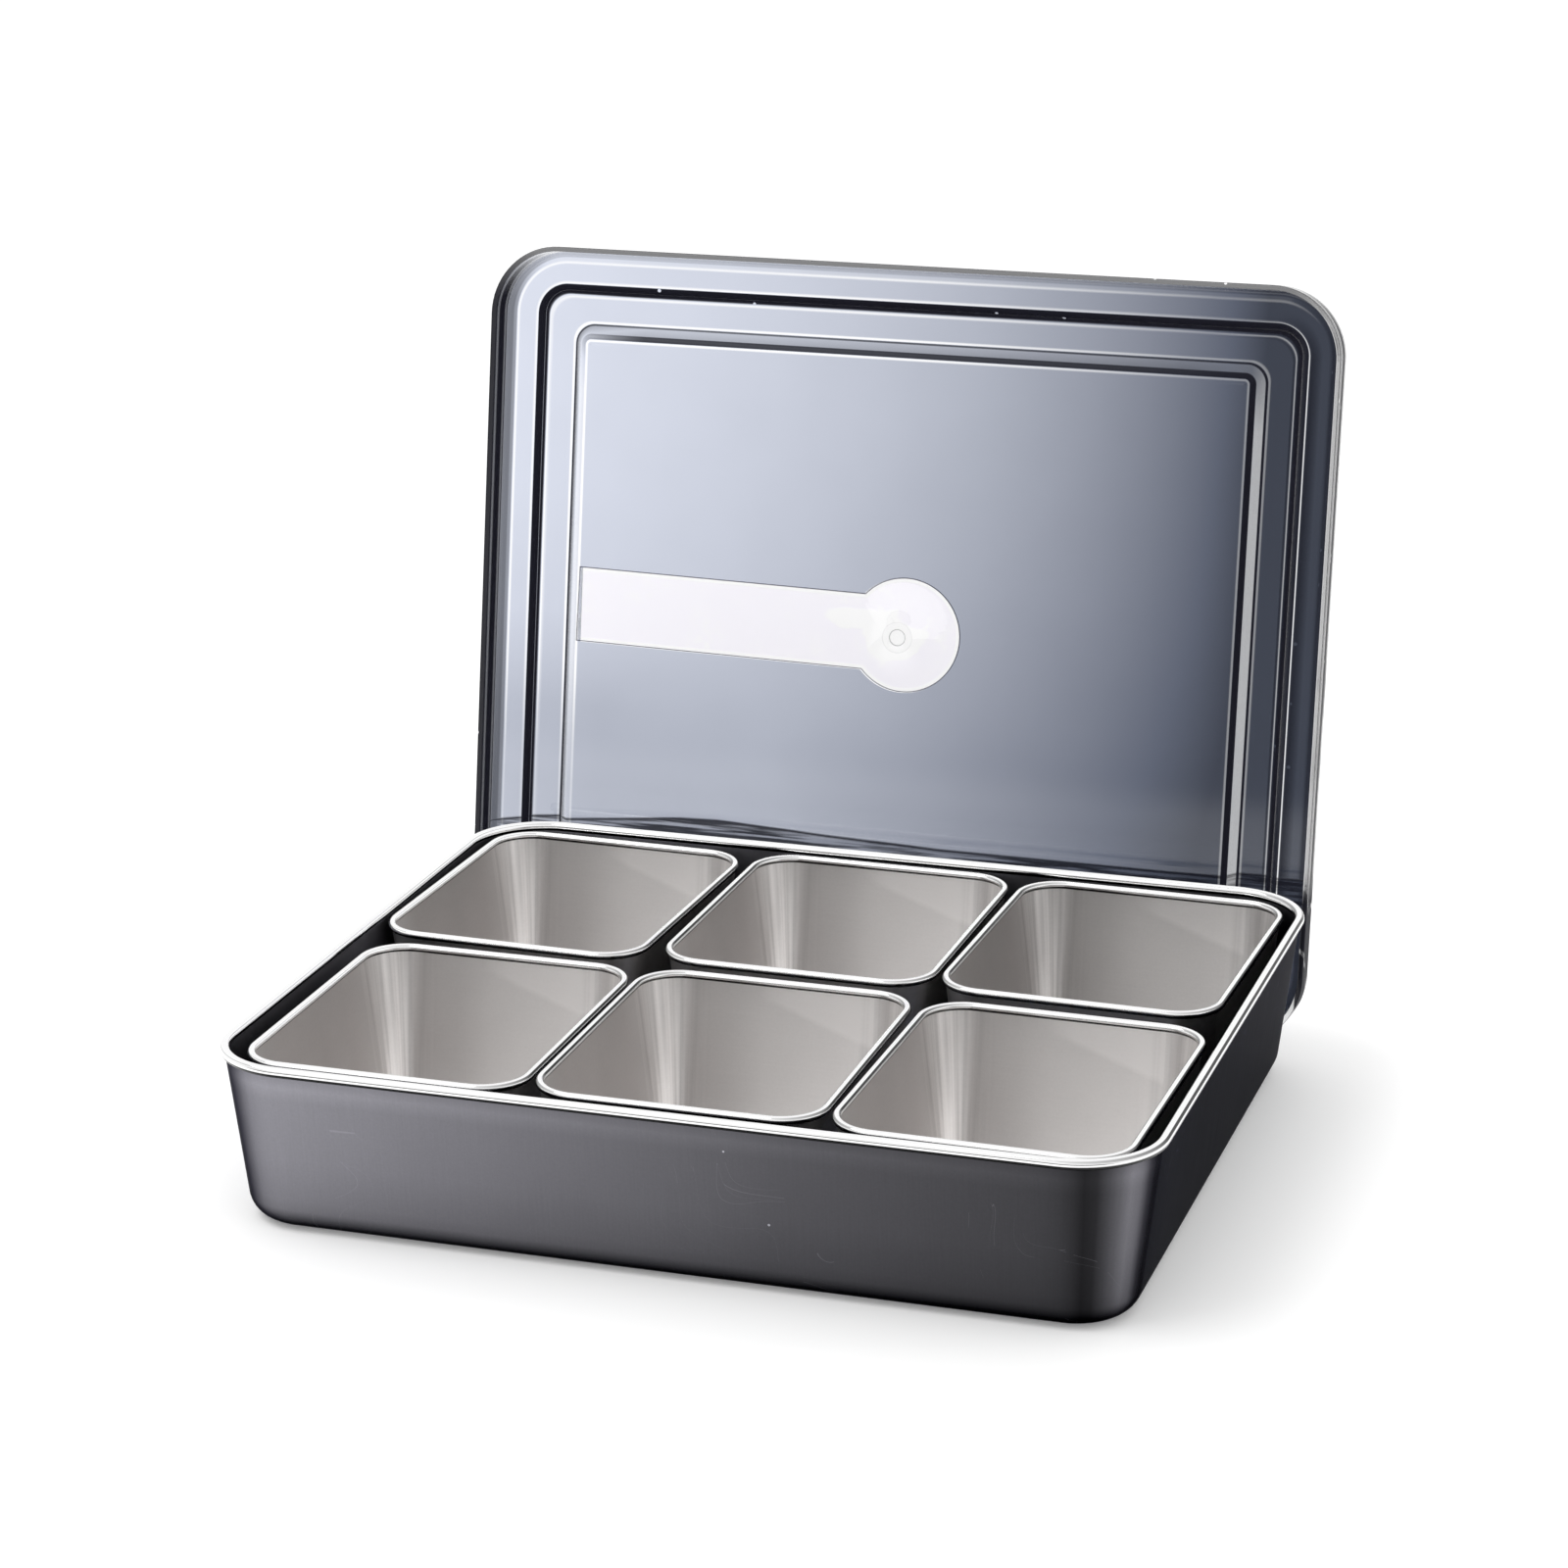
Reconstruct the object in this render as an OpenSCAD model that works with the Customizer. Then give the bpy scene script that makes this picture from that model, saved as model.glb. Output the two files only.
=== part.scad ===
// Six-cell condiment caddy: a drawn steel tray with a rolled rim, six loose drawn
// cells that stand in it, and a clear moulded cover that lifts off and stands on
// its edge behind the tray. Millimetres, +Z up, origin at the middle of the tray's
// underside, +Y towards the cover.

/* [Tray] */
// Width over the rolled rim
tray_w = 270; // [250:1:320]
// Depth, front to back, over the rolled rim
tray_d = 230; // [210:1:280]
// Height from the table to the top of the rim
tray_h = 51.5; // [40:0.5:60]
// Thickness of the tray's sheet
tray_sheet = 0.8; // [0.5:0.1:1.2]
// Corner radius of the rim, seen from above
tray_corner_r = 25; // [22:0.5:40]
// Inside radius between the walls and the floor
tray_bend_r = 7.2; // [4:0.2:8]
// Slope of the walls away from upright, in degrees
tray_draft = 7; // [3:0.5:8]
// Thickness of the rolled rim
tray_bead_d = 3; // [2.4:0.1:4]
// How far the rolled rim stands out from the wall
tray_overhang = 1.3; // [0.5:0.1:1.5]

/* [Cells] */
// Free play beside each cell, across the tray
cell_play_x = 3; // [2:0.1:4]
// Free play before and behind each cell
cell_play_y = 5.6; // [3:0.1:7]
// Thickness of a cell's sheet
cell_sheet = 0.6; // [0.4:0.1:0.8]
// Corner radius of a cell's rim, seen from above
cell_corner_r = 14; // [13:0.5:20]
// Inside radius between a cell's walls and its floor
cell_bend_r = 6.4; // [3:0.2:7]
// Slope of a cell's walls away from upright, in degrees
cell_draft = 7; // [3:0.5:7.5]
// Thickness of a cell's rolled rim
cell_bead_d = 2.4; // [2:0.1:3]
// How far a cell's rolled rim stands out from its wall
cell_overhang = 1; // [0.5:0.1:1.2]

/* [Cover] */
// Wall thickness of the cover
lid_wall = 1.5; // [1.2:0.1:2]
// Clearance between the cover's skirt and the tray's rim when it is shut
lid_clearance = 0.2; // [0.1:0.05:0.8]
// Depth of the skirt, from the shoulder's top to the free edge
lid_skirt_h = 12.7; // [10:0.1:18]
// Draft of the skirt, in degrees
lid_skirt_draft = 1.5; // [0.5:0.5:3]
// Corner radius of the skirt's free edge, seen from above
lid_corner_r = 22; // [16:0.5:25]
// Outside radius between the skirt and the shoulder
lid_root_r = 3; // [2.2:0.1:5]
// Inside radius of the bends at the two steps
step_bend_r = 0.5; // [0.3:0.1:0.8]
// Distance from the cover's outline to the foot of the ridge
ridge_inset = 12.4; // [10:0.1:14]
// Height of the ridge above the shoulder
ridge_rise = 2; // [1.9:0.1:3]
// Steepness of the ridge's outer side, in degrees
ridge_slope = 70; // [50:1:72]
// Corner radius of the ridge's foot, seen from above
ridge_corner_r = 9.5; // [7:0.5:14]
// Distance from the cover's outline to the ridge's inner edge
panel_inset = 25.4; // [22:0.1:30]
// Depth of the middle panel below the ridge
panel_drop = 4; // [3:0.1:5]
// Steepness of the slope down to the middle panel, in degrees
panel_slope = 50; // [45:1:70]
// Corner radius of the ridge's inner edge, seen from above
panel_corner_r = 5.5; // [5:0.5:10]
// Space between the middle panel and the cells' rims when the cover is shut
panel_clearance = 0.3; // [0.2:0.1:1]
// Diameter of the moulding's round gate mark, in the middle of the cover's inner face
gate_mark_d = 5.4; // [3:0.1:9]
// Depth of the gate mark
gate_mark_depth = 0.3; // [0.1:0.1:0.6]

/* [Label] */
// Thickness of the film
label_t = 0.2; // [0.1:0.05:0.3]
// Radius of the round end
label_disc_r = 18.2; // [14:0.1:22]
// Width of the strip
label_strip_w = 24.2; // [16:0.1:28]
// Tilt of the strip, in degrees
label_tilt = 0.95; // [0:0.05:2]
// Place of the round end's centre, to the right of the cover's centre
label_x = 2.1; // [-10:0.1:10]
// Place of the round end's centre, above the cover's centre
label_y = 0.9; // [-10:0.1:10]

/* [Cover standing behind the tray] */
// How far the cover leans back from upright, in degrees
lid_lean = 9; // [5:0.5:14]
// Sideways offset of the cover from the middle of the tray
lid_offset_x = -5.8; // [-20:0.1:20]
// Clearance between the rolled rim and the cover's free edge
lid_stand_gap = 2; // [0.5:0.1:10]

/* [Hidden] */
$fn = 64;
// Largest turn between two facets of a bend, in degrees
BEND_STEP = 7.5;
// Least width of flat sheet left beyond a bend
LAND = 0.3;
// Least corner radius of a plate
LEAST_R = 0.1;

COLUMNS = 3;
ROWS = 2;
// How each cell stands in its play, row by row from the front left: its shift to the
// right, its shift to the rear and its clockwise swing, as shares of the play.
CELL_STANCE = [
  [[0.63, 0.21, 0], [0, 0.54, 0], [-0.4, 0.18, 0.24]],
  [[-0.53, 0.52, 0.45], [-0.3, 0.86, 0.15], [-0.67, 0.73, 0.36]]
];

// The cells fill the space inside the tray's rim but for their play.
cell_w = snap((tray_w - 2*tray_bead_d - (COLUMNS + 1)*cell_play_x)/COLUMNS);
cell_d = snap((tray_d - 2*tray_bead_d - (ROWS + 1)*cell_play_y)/ROWS);
// Shut, the cover's shoulder rests on the tray's rim, and its middle panel clears the cells.
panel_depth = panel_drop - ridge_rise;
cell_h = tray_h - tray_sheet - panel_depth - panel_clearance;

// The skirt clears the rim's widest line, which lies half a bead below the shoulder.
rim_line = lid_wall + tray_bead_d/2;
lid_margin = snap(lid_clearance + lid_wall/cos(lid_skirt_draft)
                  + (lid_skirt_h - rim_line)*tan(lid_skirt_draft));
lid_w = tray_w + 2*lid_margin;
lid_d = tray_d + 2*lid_margin;
lid_root_inset = bend_inset(lid_skirt_h, lid_root_r, lid_skirt_draft);

// Flat land left on each side of a step before the plates take over.
step_land = snap((step_bend_r + lid_wall)*tan(max(ridge_slope, panel_slope)/2) + LAND);
panel_foot_inset = panel_inset + panel_drop/tan(panel_slope);

// The standing cover touches the table with its root bend, behind the rolled rim.
bead_r = tray_bead_d/2;
lid_z = lid_root_r + (lid_d/2 - lid_root_inset)*cos(lid_lean) - lid_root_r*sin(lid_lean);
lid_y = tray_d/2 - bead_r + (lid_skirt_h + bead_r + lid_stand_gap
        - (tray_h - bead_r - lid_z)*sin(lid_lean))/cos(lid_lean);

STEEL_DARK = [0.43, 0.43, 0.45];
STEEL_WARM = [0.72, 0.70, 0.68];
SMOKE_CLEAR = [0.66, 0.69, 0.78, 0.4];
FILM_WHITE = [0.96, 0.95, 0.98];

function unit(v) = v/norm(v);
function left_of(v) = [-v[1], v[0]];
// Signed angle from direction a to direction b, positive to the left.
function turn(a, b) = atan2(a[0]*b[1] - a[1]*b[0], a*b);
// Distance from a drafted wall's free edge, of height h, to the centre of its root bend.
function bend_inset(h, r, draft) = (r + (h - r)*sin(draft))/cos(draft);
// Rounds a size that neighbouring pieces share to a hundredth of a millimetre.
function snap(size) = round(size*100)/100;
function reversed(list) = [for (i = [len(list)-1:-1:0]) list[i]];

// One face of a bent sheet of thickness t that lies to the left of the path: the path
// itself for side = 0 and the far face for side = t. Bends share one inside radius.
function bent_line(path, bend_r, t, side) = [
  path[0] + side*left_of(unit(path[1] - path[0])),
  for (i = [1:len(path)-2])
    let (u = unit(path[i] - path[i-1]),
         angle = turn(u, path[i+1] - path[i]),
         hand = sign(angle),
         path_r = hand > 0 ? bend_r + t : bend_r,
         centre = path[i] - path_r*tan(abs(angle)/2)*u + hand*path_r*left_of(u),
         steps = ceil(abs(angle)/BEND_STEP))
      for (k = [0:steps])
        let (heading = atan2(u[1], u[0]) + angle*k/steps)
          centre - hand*(path_r - hand*side)*[-sin(heading), cos(heading)],
  path[len(path)-1] + side*left_of(unit(path[len(path)-1] - path[len(path)-2]))
];

// Section of bent sheet.
module sheet(path, bend_r, t) {
  polygon(concat(bent_line(path, bend_r, t, 0), reversed(bent_line(path, bend_r, t, t))));
}

// Sweeps a section round a w by d rectangle with corner radius r. The section is drawn
// with x as the distance inwards from the rectangle and y as the height.
module sweep(w, d, r) {
  for (k = [0:3]) rotate(90*k) {
    across = k % 2 == 0 ? w : d;
    along = k % 2 == 0 ? d : w;
    translate([across/2 - r, along/2 - r, 0]) rotate_extrude(angle = 90)
      translate([r, 0]) mirror([1, 0]) children();
    translate([across/2 - r, 0, 0]) rotate([90, 0, 0]) linear_extrude(along - 2*r, center = true)
      translate([r, 0]) mirror([1, 0]) children();
  }
}

module rounded_rect(w, d, r) {
  square([w - 2*r, d], center = true);
  square([w, d - 2*r], center = true);
  for (x = [-1, 1], y = [-1, 1]) translate([x*(w/2 - r), y*(d/2 - r)]) circle(r);
}

// Drawn pan with drafted walls, a round-bottomed floor and a rolled rim.
module pan(w, d, h, corner_r, bend_r, draft, t, bead_d, overhang) {
  wall_h = h - bead_d/2;
  // The floor's bend is limited by what the corner leaves for it.
  room = ((corner_r - overhang)*cos(draft) - wall_h*sin(draft))/(1 - sin(draft));
  outer_bend_r = min(bend_r + t, room - LAND);
  floor_inset = overhang + bend_inset(wall_h, outer_bend_r, draft);
  // The swept floor stops just short of the corner's axis, and the plate takes over.
  floor_end = corner_r - LAND/2;
  floor_edge = (floor_inset + floor_end)/2;
  sweep(w, d, corner_r) {
    sheet([[overhang, wall_h], [overhang + wall_h*tan(draft), 0], [floor_end, 0]],
          outer_bend_r - t, t);
    translate([bead_d/2, wall_h]) circle(d = bead_d);
  }
  linear_extrude(t) rounded_rect(w - 2*floor_edge, d - 2*floor_edge, corner_r - floor_edge);
}

module cell(row, column) {
  stance = CELL_STANCE[row][column];
  grid = [(column - (COLUMNS - 1)/2)*(cell_w + cell_play_x),
          (row - (ROWS - 1)/2)*(cell_d + cell_play_y)];
  swing = -atan(stance[2]*cell_play_x/(cell_d/2));
  color(STEEL_WARM)
    translate([grid[0] + stance[0]*cell_play_x, grid[1] + stance[1]*cell_play_y, tray_sheet])
      rotate(swing)
        pan(cell_w, cell_d, cell_h, cell_corner_r, cell_bend_r, cell_draft, cell_sheet,
            cell_bead_d, cell_overhang);
}

// Flat ring or plate of the cover: its top at z, from one inset outline to the next.
module plate(z, inset, corner_r) {
  translate([0, 0, z - lid_wall]) linear_extrude(lid_wall) difference() {
    rounded_rect(lid_w - 2*inset, lid_d - 2*inset, corner_r);
    children();
  }
}

// Swept step of the cover, from the level z_out outside to z_in inside it.
module step(inset, corner_r, z_out, z_in, slope) {
  run = abs(z_in - z_out)/tan(slope);
  start = inset - step_land;
  sweep(lid_w - 2*start, lid_d - 2*start, corner_r + step_land)
    sheet([[2*step_land + run, z_in], [step_land + run, z_in], [step_land, z_out], [0, z_out]],
          step_bend_r, lid_wall);
}

// The cover as it sits shut, with z = 0 at the top of its shoulder.
module cover() {
  ridge_z = ridge_rise;
  panel_z = ridge_rise - panel_drop;
  overlap = step_land/2;
  ridge_edge = ridge_inset + ridge_rise/tan(ridge_slope) + overlap;
  ridge_edge_r = ridge_corner_r + ridge_inset - ridge_edge;
  foot_edge = panel_foot_inset + overlap;
  foot_edge_r = max(LEAST_R, panel_corner_r + panel_inset - foot_edge);
  shoulder_edge = ridge_inset - overlap;
  slope_edge = panel_inset - overlap;
  root_edge = lid_root_inset + overlap;

  sweep(lid_w, lid_d, lid_corner_r)
    sheet([[root_edge + overlap, 0], [lid_skirt_h*tan(lid_skirt_draft), 0], [0, -lid_skirt_h]],
          lid_root_r - lid_wall, lid_wall);
  plate(0, root_edge, lid_corner_r - root_edge)
    rounded_rect(lid_w - 2*shoulder_edge, lid_d - 2*shoulder_edge, ridge_corner_r + overlap);
  step(ridge_inset, ridge_corner_r, 0, ridge_z, ridge_slope);
  plate(ridge_z, ridge_edge, ridge_edge_r)
    rounded_rect(lid_w - 2*slope_edge, lid_d - 2*slope_edge, panel_corner_r + overlap);
  step(panel_inset, panel_corner_r, ridge_z, panel_z, panel_slope);
  difference() {
    plate(panel_z, foot_edge, foot_edge_r);
    translate([0, 0, panel_z - lid_wall]) cylinder(h = 2*gate_mark_depth, d = gate_mark_d, center = true);
  }
}

// Stands what is drawn in the shut cover's frame on its rear edge, behind the tray.
module stand() {
  translate([lid_offset_x, lid_y, lid_z]) rotate([-(90 + lid_lean), 0, 0]) children();
}

module outer_tray() {
  color(STEEL_DARK)
    pan(tray_w, tray_d, tray_h, tray_corner_r, tray_bend_r, tray_draft, tray_sheet,
        tray_bead_d, tray_overhang);
}

module lid() {
  color(SMOKE_CLEAR) stand() cover();
}

// Film on the outside of the middle panel: a strip from the panel's left edge to a disc.
module lid_label() {
  strip_l = lid_w/2 - panel_foot_inset - step_bend_r + label_x;
  color(FILM_WHITE) stand() translate([label_x, -label_y, ridge_rise - panel_drop])
    linear_extrude(label_t) {
      circle(label_disc_r);
      rotate(label_tilt) translate([-strip_l, -label_strip_w/2]) square([strip_l, label_strip_w]);
    }
}

outer_tray();
cell(0, 0);  // cell_front_left
cell(0, 1);  // cell_front_middle
cell(0, 2);  // cell_front_right
cell(1, 0);  // cell_rear_left
cell(1, 1);  // cell_rear_middle
cell(1, 2);  // cell_rear_right
lid();
lid_label();
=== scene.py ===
"""Looks of the six-cell condiment caddy: satin steel tray and cells, and a clear moulded cover
that stands on its edge behind them. Everything is in metres, in the frame of the CAD model."""
import math

import bpy
from mathutils import Matrix, Vector
from mathutils.geometry import delaunay_2d_cdt


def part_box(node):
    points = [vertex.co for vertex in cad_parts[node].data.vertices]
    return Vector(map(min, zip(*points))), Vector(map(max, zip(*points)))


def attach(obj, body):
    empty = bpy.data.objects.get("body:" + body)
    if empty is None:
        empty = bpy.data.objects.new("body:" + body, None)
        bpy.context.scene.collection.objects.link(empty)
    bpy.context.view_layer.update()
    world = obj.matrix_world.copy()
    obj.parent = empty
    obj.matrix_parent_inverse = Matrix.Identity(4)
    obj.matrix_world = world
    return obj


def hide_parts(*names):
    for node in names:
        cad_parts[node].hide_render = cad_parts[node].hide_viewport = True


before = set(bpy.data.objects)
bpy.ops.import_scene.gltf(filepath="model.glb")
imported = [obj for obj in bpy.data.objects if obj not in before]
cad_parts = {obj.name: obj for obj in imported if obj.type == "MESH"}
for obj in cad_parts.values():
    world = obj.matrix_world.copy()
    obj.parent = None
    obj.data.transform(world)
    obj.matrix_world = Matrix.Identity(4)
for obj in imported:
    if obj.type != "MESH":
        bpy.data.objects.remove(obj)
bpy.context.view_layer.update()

MM = 0.001

# Facets
CORNER_STEPS = 18          # of a rounded corner, seen from above
SIDE_STEPS = 12            # of a straight side
BEAD_STEPS = 28            # round the section of a rolled rim
DISC_STEPS = 72            # of the label's disc
STRIP_STEPS = 40           # of each long side of its strip
GATE_STEPS = 48            # of the gate mark's circles
EDGE_STEPS = 3             # of each rounded corner of the skirt's free edge
BEND_STEP = math.radians(6)
SHARP_ANGLE = math.radians(38)

# Sizes of the pans that their boxes don't give
TRAY = dict(corner_r=25*MM, bend_r=8*MM, draft=math.radians(7), sheet=0.8*MM,
            bead_d=3*MM, overhang=1.3*MM)
CELL = dict(corner_r=14*MM, bend_r=7*MM, draft=math.radians(7), sheet=0.6*MM,
            bead_d=2.4*MM, overhang=1*MM)
CORE_R = 0.2*MM            # corner radius of the part of a pan's floor that isn't swept
CELL_SIZE = (84*MM, 103.6*MM)
# Clockwise swing of a cell, in degrees
CELL_SWING = {"cell_front_right": 0.796, "cell_rear_left": 1.492,
              "cell_rear_middle": 0.497, "cell_rear_right": 1.194}

# Sizes of the cover
COVER_SIZE = (273.9*MM, 233.9*MM)
COVER_WALL = 1.5*MM
COVER_LEAN = math.radians(9)
SKIRT_H = 12.7*MM
SKIRT_DRAFT = math.radians(1.5)
SKIRT_CORNER_R = 22*MM
ROOT_R = 1.5*MM            # inside radius of the bend between shoulder and skirt
STEP_R = 0.5*MM            # inside radius of the bends at the steps
RIDGE_INSET, RIDGE_RISE, RIDGE_SLOPE, RIDGE_CORNER_R = 12.4*MM, 2*MM, math.radians(70), 9.5*MM
PANEL_INSET, PANEL_DROP, PANEL_SLOPE, PANEL_CORNER_R = 25.4*MM, 4*MM, math.radians(50), 5.5*MM
PANEL_FOOT = PANEL_INSET + PANEL_DROP/math.tan(PANEL_SLOPE)
PANEL_Z = RIDGE_RISE - PANEL_DROP
PANEL_MARGIN = 2.2*MM      # strip of the panel that is swept with its foot
EDGE_R = 0.35*MM           # rounding of the skirt's free edge
TONE_BLEND = 14*MM         # how far round a corner the tones of two sides blend, each way
# Gate mark in the panel's inner face: (radius, depth, tone) from its rim to its middle. The tone
# is painted shade on its rings.
GATE_RELIEF = [(4.95*MM, 0, 0.0), (4.85*MM, 0.05*MM, 0.12), (4.7*MM, 0.05*MM, 0.0),
               (2.75*MM, 0, 0.0), (2.6*MM, 0.3*MM, 0.35), (2.3*MM, 0.3*MM, 0.0),
               (0.6*MM, 0.25*MM, 0.0)]

# The label's film
LABEL_T = 0.2*MM
DISC_R = 18.2*MM
STRIP_W = 24.2*MM
LABEL_TILT = math.radians(0.95)
LABEL_X, LABEL_Y = 2.1*MM, 0.9*MM
FILM_GAP = 0.03*MM         # between the panel and the film
FILM_PITCH = 2*MM          # of the points inside the film
# Loops of the film: (distance inside its outline, edge attribute)
FILM_EDGE = [(0, 1.0), (0.25*MM, 0.95), (0.4*MM, 0.5), (1.2*MM, 0.45), (1.5*MM, 0.0)]

# Places on the standing cover: x across it, and height above the floor
GATE_X, GATE_HEIGHT = -5.8*MM, 115.1*MM
PANEL_LEFT, PANEL_RIGHT = -104.5*MM, 72*MM
TINT_TOP, TINT_FOOT = 230*MM, 60*MM    # between these the painted shade deepens the tint downwards
LINED_TOP, LINED_FOOT = 57.8*MM, 46.7*MM  # between these the right skirt's darkening, broken by thin pale lines, sets in
DARKENED_INSET = 2.15*MM                 # from the cover's right side in to its darkened face
DARKENED_BLUR = 0.33*MM                  # each way from there
# A painted reflection of the tray's rim: a dark band low on the cover
REFLECTION_LEFT, REFLECTION_RIGHT = -140*MM, 140*MM
REFLECTION_LOW, REFLECTION_HIGH = 40*MM, 60*MM   # the dark band's top edge lies between these
REFLECTION_LINE = 0.714*MM                  # half the width of the line along that edge
REFLECTION_FADE, REFLECTION_END = 9*MM, 14*MM    # depths under the edge between which the band fades

# Camera: place in metres, turns in degrees, focal length as a share of the picture's width
CAMERA_PLACE = (0.3544, -1.1047, 0.4729)
CAMERA_YAW, CAMERA_PITCH, CAMERA_ROLL = 17.77, 17.43, -0.26
CAMERA_FOCAL = 4334.5/1600
SENSOR_WIDTH = 36.0        # in mm

# The stage, in metres and watts
FLOOR_REACH = 6.0
LAMP_PLACE = (-0.7, -0.5, 1.3)
LAMP_SIZE = (0.9, 0.7)
LAMP_POWER = 6


# ---------------------------------------------------------------- meshes

def between(value, start, stop):
    """0 where the value is start and 1 where it is stop, held beyond them."""
    return max(0, min(1, (value - start)/(stop - start)))


def ring(half_w, half_d, r, z):
    """Points of a rounded rectangle at height z, clockwise from the right end of the rear side."""
    points = []
    corners = [(1, 1, 90), (1, -1, 0), (-1, -1, -90), (-1, 1, -180)]
    for k, (sx, sy, start) in enumerate(corners):
        cx, cy = sx*(half_w - r), sy*(half_d - r)
        for i in range(CORNER_STEPS + 1):
            a = math.radians(start - 90*i/CORNER_STEPS)
            points.append(Vector((cx + r*math.cos(a), cy + r*math.sin(a), z)))
        nx, ny, turn = corners[(k + 1) % 4]
        a = math.radians(turn)
        goal = Vector((nx*(half_w - r) + r*math.cos(a), ny*(half_d - r) + r*math.sin(a), z))
        here = points[-1].copy()
        points += [here.lerp(goal, i/SIDE_STEPS) for i in range(1, SIDE_STEPS)]
    return points


def unit(v):
    return v/v.length


def left_of(v):
    return Vector((-v.y, v.x))


def bent_line(path, bend_rs, t, side):
    """A face of a bent sheet, as (point, bend number). The sheet lies to the left of the path,
    from it to a distance of t, and the face is at a distance of side. The bends' inside radii
    are bend_rs."""
    path = [Vector(p) for p in path]
    out = [(path[0] + side*left_of(unit(path[1] - path[0])), 0)]
    for i in range(1, len(path) - 1):
        u, v = unit(path[i] - path[i-1]), unit(path[i+1] - path[i])
        angle = math.atan2(u.x*v.y - u.y*v.x, u.dot(v))
        hand = 1 if angle > 0 else -1
        path_r = bend_rs[i-1] + (t if hand > 0 else 0)
        centre = path[i] - path_r*math.tan(abs(angle)/2)*u + hand*path_r*left_of(u)
        steps = math.ceil(abs(angle)/BEND_STEP)
        for k in range(steps + 1):
            heading = math.atan2(u.y, u.x) + angle*k/steps
            spoke = Vector((-math.sin(heading), math.cos(heading)))
            out.append((centre - hand*(path_r - hand*side)*spoke, i))
    out.append((path[-1] + side*left_of(unit(path[-1] - path[-2])), len(path) - 1))
    return out


def mesh_object(name, verts, faces, face_materials, materials, uvs=None):
    """A smooth-shaded object with its sharp edges marked."""
    mesh = bpy.data.meshes.new(name)
    mesh.from_pydata([tuple(v) for v in verts], [], faces)
    for material in materials:
        mesh.materials.append(material)
    mesh.polygons.foreach_set("material_index", face_materials)
    if uvs:
        layer = mesh.uv_layers.new(name="grain")
        for face, corners in zip(mesh.polygons, uvs):
            for loop, uv in zip(face.loop_indices, corners):
                layer.data[loop].uv = uv
    mesh.validate()
    mesh.shade_smooth()
    mesh.set_sharp_from_angle(angle=SHARP_ANGLE)
    obj = bpy.data.objects.new(name, mesh)
    bpy.context.scene.collection.objects.link(obj)
    return obj


def add_attribute(obj, name, values):
    """Gives each vertex a number that its material reads."""
    layer = obj.data.attributes.new(name, "FLOAT", "POINT")
    layer.data.foreach_set("value", values)


def bridge(rings):
    """Quads between rings of equal length, and which band each is in."""
    n = len(rings[0])
    faces, bands = [], []
    for k in range(len(rings) - 1):
        for i in range(n):
            j = (i + 1) % n
            a, b = k*n, (k + 1)*n
            faces.append([a + i, a + j, b + j, b + i])
            bands.append(k)
    return faces, bands


def grain_uvs(rings):
    """Corner UVs in metres for bridge(rings): round the rim and down the section."""
    n = len(rings[0])
    longest = max(rings, key=lambda r: r[0].y - r[n//2].y)
    along = [0.0]
    for i in range(n):
        along.append(along[-1] + (longest[(i + 1) % n] - longest[i]).length)
    down = [0.0]
    for a, b in zip(rings, rings[1:]):
        down.append(down[-1] + (b[0] - a[0]).length)
    return [[(along[i], down[k]), (along[i+1], down[k]),
             (along[i+1], down[k+1]), (along[i], down[k+1])]
            for k in range(len(rings) - 1) for i in range(n)]


def crossing(start, direction, centre, r):
    """Where the line from inside the circle leaves it."""
    w = start - centre
    b = w.dot(direction)
    return start + (-b + math.sqrt(b*b - w.dot(w) + r*r))*direction


def pan_section(h, corner_r, bend_r, draft, sheet, bead_d, overhang):
    """(point, part) from the floor's top over the rolled rim to the floor's underside. A point
    is an inset from the rim's outline and a height."""
    bead_r = bead_d/2
    wall_h = h - bead_r
    path = [(overhang, wall_h), (overhang + wall_h*math.tan(draft), 0), (corner_r - CORE_R, 0)]
    outside = [p for p, _ in bent_line(path, [bend_r - sheet], sheet, 0)]
    inside = [p for p, _ in bent_line(path, [bend_r - sheet], sheet, sheet)]
    centre = Vector((bead_r, wall_h))
    down = unit(Vector(path[1]) - Vector(path[0]))
    ends = [crossing(face[0], down, centre, bead_r) for face in (inside, outside)]
    a, b = [math.atan2(p.y - centre.y, p.x - centre.x) for p in ends]
    b += 2*math.pi if b < a else 0
    turns = [a + (b - a)*k/BEAD_STEPS for k in range(BEAD_STEPS + 1)]
    bead = [centre + bead_r*Vector((math.cos(turn), math.sin(turn))) for turn in turns]
    section = [(p, "inside") for p in reversed(inside[1:])]
    section += [(p, "bead") for p in bead] + [(p, "outside") for p in outside[1:]]
    return section


def pan(name, size, materials, form, turn=0.0):
    """A drawn pan in the place of a CAD node, turned clockwise by turn, with two materials: for
    its sheet and for its rolled rim."""
    low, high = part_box(name)
    w, d = size
    section = pan_section(high.z - low.z, **form)
    rings = [ring(w/2 - p.x, d/2 - p.x, form["corner_r"] - p.x, p.y) for p, _ in section]
    faces, bands = bridge(rings)
    uvs = grain_uvs(rings)
    used = [1 if section[k][1] == "bead" and section[k+1][1] == "bead" else 0 for k in bands]
    n = len(rings[0])
    last = (len(rings) - 1)*n
    faces += [list(range(n))[::-1], [last + i for i in range(n)]]
    uvs += [[(p.x, p.y) for p in rings[0]][::-1], [(p.x, p.y) for p in rings[-1]]]
    used += [0, 0]
    verts = [p for r in rings for p in r]
    place = Matrix.Translation(Vector(((low.x + high.x)/2, (low.y + high.y)/2, low.z)))
    place @= Matrix.Rotation(-turn, 4, "Z")
    obj = mesh_object(name + "_skin", verts, faces, used, materials, uvs)
    obj.data.transform(place)
    return obj


# ---------------------------------------------------------------- nodes

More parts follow.
